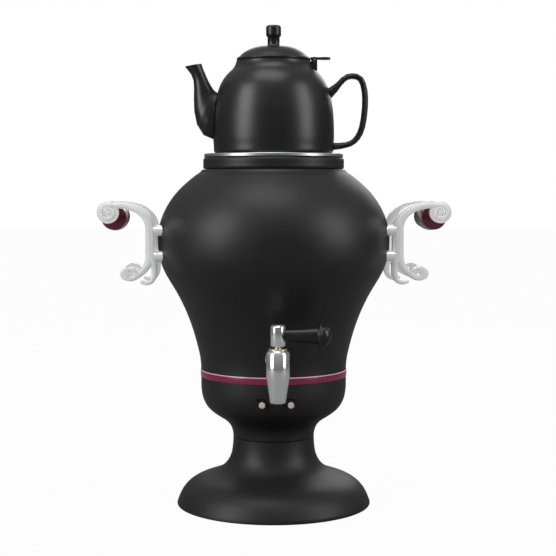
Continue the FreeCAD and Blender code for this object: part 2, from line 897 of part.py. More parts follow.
def make_cap():
    cap = tap_turned([
        (cap_low, stem_radius + run_gap), (cap_low, cap_radius - 0.5), (cap_low + 0.5, cap_radius),
        (cap_top - cap_chamfer, cap_radius), (cap_top, cap_radius - cap_chamfer), (cap_top, 0),
        (cap_low + stem_grip + seat_gap, 0), (cap_low + stem_grip + seat_gap, stem_radius + run_gap)])
    hole = rod(stud_radius + run_gap, Vector(stem_radius, tap_y, lever_z), Vector(2 * cap_radius, tap_y, lever_z))
    return cap.cut(hole)


def make_lever():
    centre = Vector(0, tap_y, lever_z)
    collar_in = lever_collar_at - lever_collar_width / 2
    collar_out = lever_collar_at + lever_collar_width / 2
    out = Vector(1, 0, 0)
    neck = turned_about(centre, out, up, [(0, 0), (0, lever_root_radius), (16, lever_root_radius + 0.1),
                                          (26, lever_root_radius + 0.6), (32, lever_neck_radius),
                                          (collar_in, lever_neck_radius + 0.6), (collar_in, 0)])
    disc = turned_about(centre, out, up, [(collar_in, 0), (collar_in, lever_collar_radius - 0.8),
                                          (collar_in + 0.8, lever_collar_radius),
                                          (collar_out - 0.8, lever_collar_radius),
                                          (collar_out, lever_collar_radius - 0.8), (collar_out, 0)])
    knob_length = lever_end - collar_out
    arc = Part.Arc(
        centre + out * collar_out + up * lever_neck_radius * 1.3,
        centre + out * (collar_out + knob_length * 0.72) + up * lever_neck_radius,
        centre + out * lever_end,
    ).toShape()
    close = [Part.makeLine(centre + out * lever_end, centre + out * collar_out),
             Part.makeLine(centre + out * collar_out, centre + out * collar_out + up * lever_neck_radius * 1.3)]
    knob = Part.Face(Part.Wire([arc] + close)).revolve(centre, out, 360)
    lever = neck.fuse([disc, knob])
    lever = lever.cut(rod(cap_radius + seat_gap, tap_axis + up * (cap_low - 5), tap_axis + up * (cap_top + 5)))
    return lever.cut(rod(stud_radius + run_gap, centre, centre + out * (cap_radius + stud_length)))


def make_stud():
    return rod(stud_radius, Vector(stem_radius + 0.4, tap_y, lever_z),
               Vector(cap_radius + stud_length - 0.5, tap_y, lever_z))


# Side handles
bar_x = belly_radius + bar_offset
bar_top_z = belly_z + bar_up
bar_low_z = belly_z - bar_down
grip_x = bar_x + grip_out
grip_z = belly_z + grip_up
boss_heights = (belly_z - 2 + boss_pitch / 2, belly_z - 2 - boss_pitch / 2)


def run_of_arcs(points):
    """Arcs through each three points in turn, or one straight edge through two."""
    if len(points) == 2:
        return [Part.makeLine(points[0], points[1])]
    return [Part.Arc(points[index], points[index + 1], points[index + 2]).toShape()
            for index in range(0, len(points) - 2, 2)]


def ribbon(point_at, width_at, steps):
    """A flat band in the upright plane along a formula, with rounded ends."""
    left = []
    right = []
    spine = []
    for step in range(steps + 1):
        t = step / steps
        before = point_at(max(t - 0.01, 0))
        after = point_at(min(t + 0.01, 1))
        along = (after - before).normalize()
        side = Vector(-along.z, 0, along.x) * (width_at(t) / 2)
        middle = point_at(t)
        spine.append((middle, along))
        left.append(middle + side)
        right.append(middle - side)
    tip = spine[-1][0] + spine[-1][1] * (width_at(1) / 2)
    tail = spine[0][0] - spine[0][1] * (width_at(0) / 2)
    edges = run_of_arcs(left) + [Part.Arc(left[-1], tip, right[-1]).toShape()]
    edges += run_of_arcs(right[::-1]) + [Part.Arc(right[0], tail, left[0]).toShape()]
    wire = Part.Wire(edges)
    return Part.Face(wire)


def bezier_points(*poles):
    curve = Part.BezierCurve()
    curve.setPoles(list(poles))
    return curve.value


def spiral_points(centre, start_radius, end_radius, squeeze, start_angle, sweep):
    def point_at(t):
        radius = start_radius + (end_radius - start_radius) * t
        angle = math.radians(start_angle + sweep * t)
        return centre + Vector(radius * math.cos(angle), 0, radius * squeeze * math.sin(angle))
    return point_at


def tapering(first, last):
    return lambda t: first + (last - first) * t


def arm_bands():
    """Each band of the cast arm as (formula, width, steps)."""
    volute = at(grip_x + volute_out, grip_z + volute_up)
    sweep_end = at(volute.x - 0.6 * volute_radius, volute.z + volute_radius - sweep_width / 2 - 0.3)
    sweep = bezier_points(at(bar_x, bar_top_z), at(bar_x, bar_top_z + 0.68 * (sweep_end.z - bar_top_z)),
                          at(bar_x + 0.4 * (sweep_end.x - bar_x), sweep_end.z), sweep_end)
    bar = bezier_points(at(bar_x, bar_low_z), at(bar_x, bar_top_z))
    leg_top = at(bar_x - 1.6, bar_low_z + 2)
    leg = bezier_points(leg_top, at(bar_x - 5.5, belly_z - 0.8 * leg_drop),
                        at(bar_x - 3.5, belly_z - 1.12 * leg_drop), at(bar_x + 9, belly_z - leg_drop))
    scroll = at(bar_x + scroll_out, belly_z - scroll_drop)
    stem_end = spiral_points(scroll, scroll_half_width, scroll_half_width,
                             scroll_half_height / scroll_half_width, -130, 0)(0)
    stem = bezier_points(at(bar_x + 1, bar_low_z + 2), at(bar_x + 3, bar_low_z - 8),
                         stem_end - at(7, -4.5), stem_end)
    curl = spiral_points(scroll, scroll_half_width, scroll_half_width * 0.8,
                         scroll_half_height / scroll_half_width, -130, 300)
    return volute, scroll, [
        (bar, tapering(bar_width, bar_width), 1),
        (sweep, tapering(bar_width, sweep_width), 6),
        (leg, tapering(leg_width, leg_tip_width), 6),
        (stem, tapering(bar_width * 0.8, scroll_band), 4),
        (curl, tapering(scroll_band, scroll_band * 0.8), 8),
    ]


def make_arm(front):
    """Right-hand arm; the front one shows its ribs to the front."""
    volute, scroll, bands = arm_bands()
    inner_y = -(arm_spread - arm_thickness / 2)
    outer_y = -(arm_spread + arm_thickness / 2)

    def slab(face, proud):
        face = face.copy()
        face.translate(Vector(0, inner_y, 0))
        return face.extrude(Vector(0, outer_y - inner_y - proud, 0))

    flats = []
    ribs = []
    for point_at, width_at, steps in bands:
        flats.append(slab(ribbon(point_at, width_at, steps), 0))
        ribs.append(slab(ribbon(point_at, lambda t, wide=width_at: wide(t) * rib_share, steps), rib_proud))
    face_y = outer_y - rib_proud
    eye_x = scroll.x + 0.45 * scroll_half_width
    discs = [
        rod(volute_radius, Vector(volute.x, inner_y, volute.z), Vector(volute.x, outer_y, volute.z)),
        rod(eye_radius, Vector(volute.x, inner_y, volute.z), Vector(volute.x, face_y - rib_proud / 2, volute.z)),
        rod(scroll_eye_radius, Vector(eye_x, inner_y, scroll.z), Vector(eye_x, face_y, scroll.z)),
    ]
    bosses = [rod(boss_radius, Vector(belly_radius * 0.7, -arm_spread, height), Vector(bar_x, -arm_spread, height))
              for height in boss_heights]
    coil = spiral_points(volute, volute_radius - sweep_width / 2, eye_radius + coil_width, 1, 115,
                         -360 * volute_turns)
    arm = flats[0].fuse(flats[1:]).fuse(discs).fuse(bosses)
    arm = arm.fuse(ribs[0].fuse(ribs[1:]))
    arm = arm.fuse(slab(ribbon(coil, tapering(2 * coil_width, coil_width), 12), rib_proud))
    for height in boss_heights:
        arm = arm.cut(rod(wall_near(height, boss_radius, max) + seat_gap, at(0, height - boss_radius - 1),
                          at(0, height + boss_radius + 1)))
    for height in boss_heights:
        arm = arm.cut(rod(screw_radius + run_gap, Vector(0, -arm_spread, height),
                          Vector(bar_x - bar_width / 2 + screw_bite, -arm_spread, height)))
    arm = arm.cut(rod(bolt_radius + run_gap, Vector(grip_x, 0, grip_z), Vector(grip_x, inner_y - bolt_bite, grip_z)))
    if front:
        return arm
    return arm.mirror(origin, Vector(0, 1, 0))


def wall_near(height, reach, pick):
    """Smallest or largest outer radius of the body within a reach above and below a height."""
    return pick(radius_at(body_curves, height + step * reach) for step in (-1, 0, 1))


def seal_plane(height):
    """Distance from the middle plane to the flat inner face of a handle seal."""
    inner = radius_at(body_curves, height) - body_wall
    return math.sqrt(inner ** 2 - (arm_spread + handle_seal_radius) ** 2) - handle_seal_min


def handle_screw_places(radius):
    shapes = []
    for height in boss_heights:
        for side in (-1, 1):
            for depth in (-1, 1):
                shapes.append(rod(radius, Vector(side * seal_plane(height), depth * arm_spread, height),
                                  Vector(side * (bar_x - bar_width / 2 + screw_bite - 0.3), depth * arm_spread, height)))
    return shapes


def make_handle_screws():
    screws = []
    for shape, (height, side, depth) in zip(handle_screw_places(screw_radius), handle_corners()):
        start = Vector(side * seal_plane(height), depth * arm_spread, height)
        screws.append(shape.fuse(rod(screw_head_radius, start, start - Vector(side * screw_head_height, 0, 0))))
    return Part.makeCompound(screws)


def handle_corners():
    return [(height, side, depth) for height in boss_heights for side in (-1, 1) for depth in (-1, 1)]


def make_handle_seals():
    seals = []
    for height, side, depth in handle_corners():
        start = Vector(side * seal_plane(height), depth * arm_spread, height)
        inside = rod(wall_near(height, handle_seal_radius, min) - body_wall - seat_gap,
                     at(0, height - handle_seal_radius), at(0, height + handle_seal_radius))
        pad = rod(handle_seal_radius, start, Vector(side * belly_radius, depth * arm_spread, height)).common(inside)
        seals.append(pad.cut(rod(screw_radius + run_gap, start - Vector(side * 5, 0, 0),
                                 Vector(side * belly_radius, depth * arm_spread, height))))
    return Part.makeCompound(seals)


def make_grip():
    half = arm_spread - arm_thickness / 2 - seat_gap
    centre = at(grip_x, grip_z)
    back = Vector(0, 1, 0)
    barrel = Part.Arc(centre + back * -(half - grip_bead_width) + up * grip_end_radius,
                      centre + up * grip_radius,
                      centre + back * (half - grip_bead_width) + up * grip_end_radius).toShape()
    low = centre - back * (half - grip_bead_width)
    high = centre + back * (half - grip_bead_width)
    close = Part.makePolygon([high + up * grip_end_radius, high + up * bolt_radius,
                              low + up * bolt_radius, low + up * grip_end_radius])
    grip = Part.Face(Part.Wire([barrel] + close.Edges)).revolve(centre, back, 360)
    beads = []
    for side in (-1, 1):
        inner = half - grip_bead_width
        beads.append(turned_about(centre, back * side, up, [
            (inner, bolt_radius), (inner, grip_bead_radius - 0.6), (inner + 0.6, grip_bead_radius),
            (half - 0.6, grip_bead_radius), (half, grip_bead_radius - 0.6), (half, bolt_radius)]))
    grip = grip.fuse(beads)
    return grip.cut(rod(bolt_radius + run_gap, centre - back * half, centre + back * half))


def make_grip_bolts():
    reach = arm_spread - arm_thickness / 2 + bolt_bite - 0.3
    return Part.makeCompound([rod(bolt_radius, Vector(side * grip_x, -reach, grip_z),
                                  Vector(side * grip_x, reach, grip_z)) for side in (-1, 1)])


# Lid of the tank, on which the teapot stands
def make_tank_lid():
    spigot = tank_opening - slide_gap
    plate_low = pot_z - lid_plate
    lid = turned(
        at(spigot - lid_plate, collar_z - lid_spigot_depth), at(spigot, collar_z - lid_spigot_depth),
        at(spigot, collar_z), at(lid_radius - 0.5, collar_z), at(lid_radius, collar_z + 0.5),
        at(lid_radius, pot_z - 0.8), at(lid_radius - 0.8, pot_z), at(lid_dish_radius, pot_z),
        at(lid_dish_radius - lid_dish_depth, pot_z - lid_dish_depth), at(0, pot_z - lid_dish_depth),
        at(0, plate_low - lid_dish_depth), at(lid_dish_radius - lid_dish_depth - 0.5, plate_low - lid_dish_depth),
        at(lid_dish_radius - 0.5, plate_low), at(spigot - lid_plate, plate_low))
    hole = rod(steam_hole_radius, at(steam_hole_circle, collar_z - 8), at(steam_hole_circle, pot_z))
    middle = rod(steam_hole_radius * 2, at(0, collar_z - 8), at(0, pot_z))
    return lid.cut(around(hole, steam_hole_count) + [middle])


# Teapot
def make_pot():
    outer = turned(pot_foot_arc, *[beside(curve, 0) for curve in pot_curves], at(0, pot_mouth_z), at(0, pot_z))
    inner_arc = Part.Arc(
        at(pot_side_radius - pot_foot_round, pot_z + pot_floor + pot_recess_depth),
        at(pot_side_radius - pot_wall - 1, pot_z + pot_floor + pot_recess_depth + 1),
        at(pot_side_radius - pot_wall, pot_z + pot_floor + pot_recess_depth + 3))
    inner = beside(pot_high_curve, pot_wall)
    hollow = turned(inner_arc, at(pot_radius - pot_wall, pot_wide_z), inner, at(0, end_of(inner).z),
                    at(0, pot_z + pot_floor + pot_recess_depth))
    hollow = hollow.common(rod(pot_radius, at(0, pot_z), at(0, pot_mouth_z - pot_wall - 0.6)))
    recess = Part.makeCone(pot_recess_radius, pot_recess_radius - pot_recess_depth, pot_recess_depth,
                           at(0, pot_z), up)
    mouth = rod(pot_mouth_bore, at(0, pot_wide_z), at(0, pot_mouth_z))
    pot = outer.cut([hollow, recess, mouth])
    return pot.cut(strainer_holes())


def strainer_holes():
    holes = []
    for row in (-1, 0, 1):
        for place in (-0.5, 0.5) if row else (-1, 0, 1):
            centre = Vector(-pot_radius * 1.2, place * strainer_pitch, spout_root_z + row * strainer_pitch * 0.87)
            holes.append(rod(strainer_radius, centre, centre + Vector(pot_radius, 0, 0)))
    return holes


spout_root_z = pot_z + 0.61 * pot_radius
spout_split = 4
spout_rows = (
    # along the spout, as shares of the pot's radius: its lower edge's distance out from the axis and height
    # above the pot's base, the same for its upper edge, and half its width across
    (0.833, 0.232, 0.833, 0.998, 0.233),
    (1.000, 0.240, 0.883, 0.998, 0.230),
    (1.158, 0.307, 0.917, 1.003, 0.217),
    (1.267, 0.482, 0.942, 1.015, 0.197),
    (1.310, 0.698, 0.963, 1.032, 0.170),
    (1.317, 0.898, 0.992, 1.065, 0.150),
    (1.313, 1.065, 1.030, 1.123, 0.137),
    (1.320, 1.198, 1.075, 1.207, 0.125),
    (1.358, 1.298, 1.120, 1.307, 0.118),
    (1.408, 1.365, 1.155, 1.390, 0.120),
    (1.462, 1.428, 1.183, 1.475, 0.127),
)
handle_rows = (
    # along the handle's line, as shares of the pot's radius: distance out, height above the pot's base
    (0.800, 0.900), (1.017, 1.083), (1.217, 1.270), (1.442, 1.233), (1.517, 0.917), (1.470, 0.450),
    (1.333, 0.210), (1.100, 0.133), (0.800, 0.125),
)
handle_steps = 3


def eased(rows, place):
    """The row at a place between two rows, on a smooth line through them all."""
    index = min(int(place), len(rows) - 2)
    t = place - index
    near = [rows[max(index - 1, 0)], rows[index], rows[index + 1], rows[min(index + 2, len(rows) - 1)]]
    return [(2 * b + (c - a) * t + (2 * a - 5 * b + 4 * c - d) * t ** 2 + (3 * b - a - 3 * c + d) * t ** 3) / 2
            for a, b, c, d in zip(*near)]


def spout_loft(thinner, reach):
    """The spout's outside, or its bore when thinner, with both ends moved out by a reach."""
    wires = []
    for index, row in enumerate(spout_rows):
        lower_out, lower_rise, upper_out, upper_rise, half_width = [share * pot_radius for share in row]
        lower = Vector(-lower_out, 0, pot_z + lower_rise)
        upper = Vector(-upper_out, 0, pot_z + upper_rise)
        across = (upper - lower).normalize()
        along = Vector(-across.z, 0, across.x)
        centre = (lower + upper) * 0.5 + along * (reach * {0: -1, len(spout_rows) - 1: 1}.get(index, 0))
        half_length = (upper - lower).Length / 2 - thinner
        ellipse = Part.Ellipse(origin, half_length, min(half_width - thinner, half_length - 0.1))
        wire = Part.Wire(ellipse.toShape())
        wire.Placement = FreeCAD.Placement(centre, FreeCAD.Rotation(across, Vector(0, 1, 0), along, "XZY"))
        wires.append(wire)
    root = Part.makeLoft(wires[:spout_split + 1], True, True)
    return root.fuse(Part.makeLoft(wires[spout_split:], True, True))


def largest(shape):
    return max(shape.Solids, key=lambda solid: solid.Volume)


def make_spout():
    spout = spout_loft(0, 0).cut(spout_loft(spout_wall, spout_wall))
    return largest(spout.cut(solid_inside(pot_curves, -seat_gap)))


def make_pot_handle():
    count = handle_steps * (len(handle_rows) - 1)
    sections = []
    for step in range(count + 1):
        share = step / count
        places = [eased(handle_rows, min(max(place, 0), len(handle_rows) - 1))
                  for place in (step / handle_steps - 0.02, step / handle_steps, step / handle_steps + 0.02)]
        before, centre, after = [Vector(out, 0, rise) * pot_radius + at(0, pot_z) for out, rise in places]
        flare = 1 + 1.2 * max(0, 1 - share * 6) + 0.5 * max(0, share * 6 - 5)
        half = Vector(handle_half_thickness * flare, handle_half_width, 0)
        wire = Part.Wire(Part.Ellipse(origin, half.y, min(half.x, half.y - 0.1)).toShape())
        along = (after - before).normalize()
        wire.Placement = FreeCAD.Placement(centre, FreeCAD.Rotation(
            Vector(0, 1, 0), Vector(-along.z, 0, along.x), along, "XZY"))
        sections.append(wire)
    handle = Part.makeLoft(sections, True, True)
    pot_side = rod(pot_side_radius + seat_gap, at(0, pot_z), at(0, pot_z + pot_foot_round + 1))
    return largest(handle.cut([solid_inside(pot_curves, -seat_gap), pot_side]))


lid_z = pot_mouth_z
rim_top_z = lid_z + lid_rim_height
dome_z = rim_top_z + dome_rise


def make_pot_lid():
    spigot = pot_mouth_bore - slide_gap - 0.3
    shoulder = at(0.63 * lid_rim_radius, rim_top_z + 0.8 * dome_rise)
    dome = Part.Arc(at(lid_rim_radius - 2, rim_top_z), shoulder, at(dome_flat_radius, dome_z))
    outer = turned(at(spigot, lid_z - lid_spigot), at(spigot, lid_z), at(lid_rim_radius, lid_z),
                   at(lid_rim_radius, rim_top_z - 1.4), at(lid_rim_radius - 0.6, rim_top_z - 0.4), dome,
                   at(0, dome_z), at(0, lid_z - lid_spigot))
    ceiling = dome_z - lid_shell - 0.6
    inner = Part.Arc(at(spigot - lid_shell, rim_top_z - lid_shell), shoulder - at(lid_shell, 1.5 * lid_shell),
                     at(dome_flat_radius - lid_shell, ceiling))
    hollow = turned(at(spigot - lid_shell, lid_z - lid_spigot), inner, at(0, ceiling), at(0, lid_z - lid_spigot))
    hole = rod(knob_screw_radius + run_gap, at(0, dome_z - 4), at(0, dome_z))
    return outer.cut([hollow, hole])


def make_knob():
    head_z = dome_z + knob_stem_height
    top = head_z + knob_head_height
    bend = knob_round * (1 - math.sqrt(0.5))
    crown = Part.Arc(at(knob_head_radius, top - knob_round), at(knob_head_radius - bend, top - bend),
                     at(knob_head_radius - knob_round, top))
    under = Part.Arc(at(knob_stem_radius, head_z - 0.5), at(knob_head_radius - 0.5, head_z + 0.4),
                     at(knob_head_radius, head_z + 1.6))
    foot = Part.Arc(at(dome_flat_radius - 0.6, dome_z), at(knob_stem_radius + 0.5, dome_z + 1.3),
                    at(knob_stem_radius, dome_z + 3.4))
    knob = turned(foot, under, crown, at(0, top), at(0, dome_z))
    return knob.cut(rod(knob_screw_radius + run_gap, at(0, dome_z), at(0, head_z)))


def make_knob_screw():
    low = dome_z - lid_shell - 0.6
    return rod(knob_screw_radius, at(0, low), at(0, dome_z + knob_stem_height - 0.5)).fuse(
        rod(2 * knob_screw_radius, at(0, low - 1.6), at(0, low)))


# Hinge of the teapot's lid
hinge_x = lid_rim_radius + hinge_out
hinge_z = lid_z + hinge_up


def hinge_rod(radius, half):
    return rod(radius, Vector(hinge_x, -half, hinge_z), Vector(hinge_x, half, hinge_z))


def make_hinge_bracket():
    half = knuckle_width / 2 + slide_gap + ear_width
    low = radius_at(pot_curves, pot_mouth_z - 12)
    body = hinge_rod(knuckle_radius, half).fuse(
        block(hinge_x - knuckle_radius, hinge_x + knuckle_radius, -half, half, hinge_z - 14, hinge_z))
    body = body.cut(solid_inside(pot_curves, -seat_gap))
    gap = knuckle_width / 2 + slide_gap
    slot = block(hinge_x - low, hinge_x + low, -gap, gap, hinge_z - knuckle_radius - 1.0, hinge_z + low)
    relief = block(hinge_x - 1, hinge_x + low, -gap, gap, hinge_z - low, hinge_z)
    return body.cut([slot, relief, hinge_rod(hinge_pin_radius + run_gap, half)])


def make_hinge_pin():
    return hinge_rod(hinge_pin_radius, knuckle_width / 2 + slide_gap + ear_width)


def make_thumb_tab():
    top = hinge_z + knuckle_radius
    leaf = block(lid_rim_radius - 1, hinge_x, -knuckle_width / 2, knuckle_width / 2, top - tab_thickness, top)
    neck = block(hinge_x, hinge_x + tab_neck + 1, -knuckle_width / 2, knuckle_width / 2, top - tab_thickness, top)
    tab = block(hinge_x + tab_neck, hinge_x + tab_length, -tab_width / 2, tab_width / 2, top - tab_thickness, top)
    corners = [edge for edge in tab.Edges if edge.BoundBox.ZLength > 1 and edge.BoundBox.XMin > hinge_x + tab_neck + 1]
    tab = tab.makeFillet(tab_width * 0.35, corners)
    body = hinge_rod(knuckle_radius, knuckle_width / 2).fuse([leaf, neck, tab])
    body = body.cut(rod(lid_rim_radius + seat_gap, at(0, lid_z - 5), at(0, dome_z)))
    return body.cut(hinge_rod(hinge_pin_radius + run_gap, knuckle_width))


def write_parts():
    right_front = make_arm(True)
    right_rear = make_arm(False)
    grip = make_grip()
    pieces = {
        "rubber_foot_ring": make_rubber_ring(),
        "base_plate": make_base_plate(),
        "base_screws": make_base_screw(),
        "foot_shell": make_foot(),
        "tie_rod": make_tie_rod(),
        "clamp_plate": make_clamp_plate(),
        "tie_rod_nut": make_rod_nut(),
        "lower_bowl": make_bowl(),
        "light_ring": make_light_ring(),
        "led_board": make_board(),
        "leds": make_leds(),
        "mains_inlet": make_inlet(),
        "inlet_pins": make_inlet_pins(),
        "boil_button": make_button(-1),
        "keep_warm_button": make_button(1),
        "switch_bodies": Part.makeCompound([make_switch(-1), make_switch(1)]),
        "switch_nuts": Part.makeCompound([make_switch_nut(-1), make_switch_nut(1)]),
        "body_shell": make_body(),
        "neck_collar": make_collar(),
        "tank_floor": make_tank_floor(),
        "heater_plate": make_heater_plate(),
        "heating_element": make_element(),
        "boil_thermostat": make_thermostat(0, thermostat_radius, thermostat_height),
        "keep_warm_thermostat": make_thermostat(180, thermostat_radius, thermostat_height),
        "thermal_cutout": make_thermostat(270, thermostat_radius * 0.6, thermostat_height * 0.8),
        "terminal_block": make_terminal_block(),
        "tap_body": make_tap_body(),
        "tap_saddle": make_saddle(),
        "tap_inner_seal": make_inner_seal(),
        "tap_lock_nut": make_tap_nut(),
        "tap_plug": make_plug(),
        "tap_packing": make_packing(),
        "tap_gland_nut": make_gland(),
        "tap_cap": make_cap(),
        "tap_lever": make_lever(),
        "lever_stud": make_stud(),
        "right_front_arm": right_front,
        "right_rear_arm": right_rear,
        "left_front_arm": mirrored(right_front),
        "left_rear_arm": mirrored(right_rear),
        "right_grip": grip,
        "left_grip": mirrored(grip),
        "grip_bolts": make_grip_bolts(),
        "handle_screws": make_handle_screws(),
        "handle_seals": make_handle_seals(),
        "tank_lid": make_tank_lid(),
        "pot_body": make_pot(),
        "pot_spout": make_spout(),
        "pot_handle": make_pot_handle(),
        "pot_lid": make_pot_lid(),
        "lid_knob": make_knob(),
        "knob_screw": make_knob_screw(),
        "hinge_bracket": make_hinge_bracket(),
        "hinge_pin": make_hinge_pin(),
        "thumb_tab": make_thumb_tab(),
    }
    os.makedirs("parts", exist_ok=True)
    for name, shape in pieces.items():
        shape.exportStep("parts/" + name + ".step")
        print(name, len(shape.Solids), shape.isValid(), round(shape.Volume))


write_parts()
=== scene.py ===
import json
import math

import bmesh
import bpy
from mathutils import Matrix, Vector


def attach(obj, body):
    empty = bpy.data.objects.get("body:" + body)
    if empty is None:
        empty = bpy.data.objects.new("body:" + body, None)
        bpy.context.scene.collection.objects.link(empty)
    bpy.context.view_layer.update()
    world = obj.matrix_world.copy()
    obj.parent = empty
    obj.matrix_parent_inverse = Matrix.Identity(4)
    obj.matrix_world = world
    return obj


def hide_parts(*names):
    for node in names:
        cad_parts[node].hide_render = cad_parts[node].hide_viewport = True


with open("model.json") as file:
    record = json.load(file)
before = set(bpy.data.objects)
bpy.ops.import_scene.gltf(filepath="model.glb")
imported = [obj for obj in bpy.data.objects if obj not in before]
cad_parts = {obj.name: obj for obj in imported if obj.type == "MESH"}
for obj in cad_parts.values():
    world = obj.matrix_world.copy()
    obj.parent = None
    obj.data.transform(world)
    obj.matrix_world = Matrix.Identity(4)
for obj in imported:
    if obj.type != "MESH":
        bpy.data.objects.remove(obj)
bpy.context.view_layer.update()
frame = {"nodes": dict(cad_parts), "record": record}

# Electric samovar with a teapot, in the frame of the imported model. Lengths are in metres unless a comment
# says otherwise.
MM = 0.001

# The photograph's camera, in metres, radians and pixels; the sensor is in millimetres
CAMERA_DISTANCE = 1.360
CAMERA_HEIGHT = 0.3193
CAMERA_PITCH = math.radians(3.82)
CAMERA_AZIMUTH = math.radians(2.2)
FOCAL_PIXELS = 1363.0
FRAME_PIXELS = 556
AXIS_COLUMN = 273.6
SENSOR = 36.0

# Lamps: name, place, target, width, height and power
SOFTBOXES = [
    ("key_left", (-1.7, -1.0, 0.95), (0, 0, 0.28), 0.9, 1.7, 30),
    ("fill_right", (1.7, -0.9, 0.95), (0, 0, 0.28), 0.8, 1.6, 21),
    ("top", (-0.2, -0.5, 2.1), (0, 0, 0.2), 1.4, 1.0, 14),
    ("back", (0.4, 1.7, 1.0), (0, 0, 0.3), 1.4, 0.8, 8),
]

# Share of plain white in the floor as the camera sees it; the rest takes the contact shadow
FLOOR_WHITE = 0.975
FLOOR_REACH = 9.0

# Strength of the room's light below and above, and how far up a direction points where each is reached
ROOM_LOW, ROOM_HIGH = 0.03, 0.42
ROOM_START, ROOM_FULL = -0.10, 0.75

# The light ring, in millimetres: the heights it lies between, its radius, depth and eased edge, how far it
# is kept off its neighbours, and how far below its top the painted highlight along its upper edge starts and
# is full
BOWL_Z, BODY_Z = 131.0, 138.0
LIGHT_RADIUS, LIGHT_DEPTH, LIGHT_ROUND = 73.0, 3.2, 0.35
LIGHT_GAP = 0.02
PAINTED_HIGHLIGHT_START, PAINTED_HIGHLIGHT_FULL = 1.3, 0.5

# How the light ring is turned: the turns of its eased edge and its sharp angle in degrees, its steps round
# the axis, and how near two corners are joined
EDGE_TURNS = (-67.5, -45, -22.5, 0)
LIGHT_SHARP = 40
LIGHT_STEPS = 160
SEAM_REACH = 1e-7

# Copies of the solids: how near two corners are joined, and the degrees between faces that make an edge eased
MERGE_REACH = 2e-6
EASED_FROM = 40

# Smudges: the shares of the broad and the fine noise, how much finer the second is, and the middle part of
# the noise that is stretched over the whole gloss and the whole shade
BROAD_SHARE, FINE_SHARE, FINE_RATIO = 0.75, 0.25, 14.0
GLOSS_SPAN = (0.32, 0.68)
SHADE_SPAN = (0.35, 0.65)

# Skins: the heights of pebbles and of brushed lines, the share of long waves among the pebbles, what the
# lines add to the roughness, and the grain, waves and strength of polished metal
PEBBLE_HEIGHT, LINE_HEIGHT = 0.0002, 0.00006
WAVE_SHARE = 0.8
LINE_ROUGHNESS = 0.16
POLISH_GRAIN, POLISH_WAVES, POLISH_STRENGTH = 260.0, 18.0, 0.02

# Strength of the light given off by the ring, and of the painted glow on the arms, which are no lamp, so that
# they read as nearly white
RING_GLOW, ARM_PAINTED_GLOW = 0.55, 0.12


# Mesh helpers
def placed(name, data):
    """An object made from some data and put in the scene."""
    made = bpy.data.objects.new(name, data)
    bpy.context.scene.collection.objects.link(made)
    return made


def finish_piece(name, bm, body, material, replaced, sharp):
    """Turns a bmesh into a finished piece that stands for some solids and rides on their body."""
    mesh = bpy.data.meshes.new(name)
    bm.to_mesh(mesh)
    bm.free()
    mesh.shade_smooth()
    mesh.set_sharp_from_angle(angle=math.radians(sharp))
    mesh.materials.append(material)
    piece = placed(name, mesh)
    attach(piece, body)
    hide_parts(*replaced)
    return piece


def body_carrying(node):
    """The body that carries a solid in the record, or root where none does."""
    for body, names in frame["record"]["behaviour"]["bodies"].items():
        if node in names:
            return body
    return "root"


def refined(node, material, sharp=28, flat=0.0, edge=0.0, segments=2):
    """A smooth copy of a solid with its corners joined up.

    Edges of more than sharp degrees stay crisp. Where flat is given, faces within that many degrees of each
    other become one, and where edge is given, hard edges are eased by about that many millimetres.
    """
    bm = bmesh.new()
    bm.from_mesh(frame["nodes"][node].data)
    bmesh.ops.remove_doubles(bm, verts=bm.verts, dist=MERGE_REACH)
    bmesh.ops.recalc_face_normals(bm, faces=bm.faces)
    if flat:
        bmesh.ops.dissolve_limit(bm, angle_limit=math.radians(flat), verts=bm.verts, edges=bm.edges)
    if edge:
        least = math.radians(EASED_FROM)
        hard = [line for line in bm.edges if line.is_manifold and line.calc_face_angle(0) > least]
        bmesh.ops.bevel(bm, geom=hard, offset=edge * MM, offset_type="OFFSET", segments=segments, profile=0.5,
                        affect="EDGES", clamp_overlap=True, material=-1)
    return finish_piece(node + "_skin", bm, body_carrying(node), material, [node], sharp)


# Shader node helpers
def new_material(name, colour, roughness, metallic=0.0, specular=0.5, coat=0.0, coat_roughness=0.1):
    """A new material with its node tree and its surface shader."""
    material = bpy.data.materials.new(name)
    material.use_nodes = True
    shader = material.node_tree.nodes["Principled BSDF"]
    shader.inputs["Base Color"].default_value = (*colour, 1)
    shader.inputs["Roughness"].default_value = roughness
    shader.inputs["Metallic"].default_value = metallic
    shader.inputs["Specular IOR Level"].default_value = specular
    shader.inputs["Coat Weight"].default_value = coat
    shader.inputs["Coat Roughness"].default_value = coat_roughness
    return material, material.node_tree, shader


def group_of(name, inputs, outputs):
    """A new node group with number inputs, and its two ends."""
    tree = bpy.data.node_groups.new(name, "ShaderNodeTree")
    for label, value in inputs:
        socket = tree.interface.new_socket(label, in_out="INPUT", socket_type="NodeSocketFloat")
        socket.default_value = value
    for label, kind in outputs:
        tree.interface.new_socket(label, in_out="OUTPUT", socket_type=kind)
    return tree, tree.nodes.new("NodeGroupInput"), tree.nodes.new("NodeGroupOutput")


def feed(tree, value, socket):
    """Links a socket's value into a socket, or sets a plain number on it."""
    if hasattr(value, "links"):
        tree.links.new(value, socket)
    else:
        socket.default_value = value


def noise(tree, scale, detail, rough, vector):
    """Cloudy noise over some coordinates."""
    node = tree.nodes.new("ShaderNodeTexNoise")
    node.inputs["Detail"].default_value = detail
    node.inputs["Roughness"].default_value = rough
    feed(tree, scale, node.inputs["Scale"])
    tree.links.new(vector, node.inputs["Vector"])
    return node.outputs["Fac"]


def math_node(tree, operation, *values):
    """The result of one operation on one or two values."""
    node = tree.nodes.new("ShaderNodeMath")
    node.operation = operation
    for socket, value in zip(node.inputs, values):
        feed(tree, value, socket)
    return node.outputs["Value"]


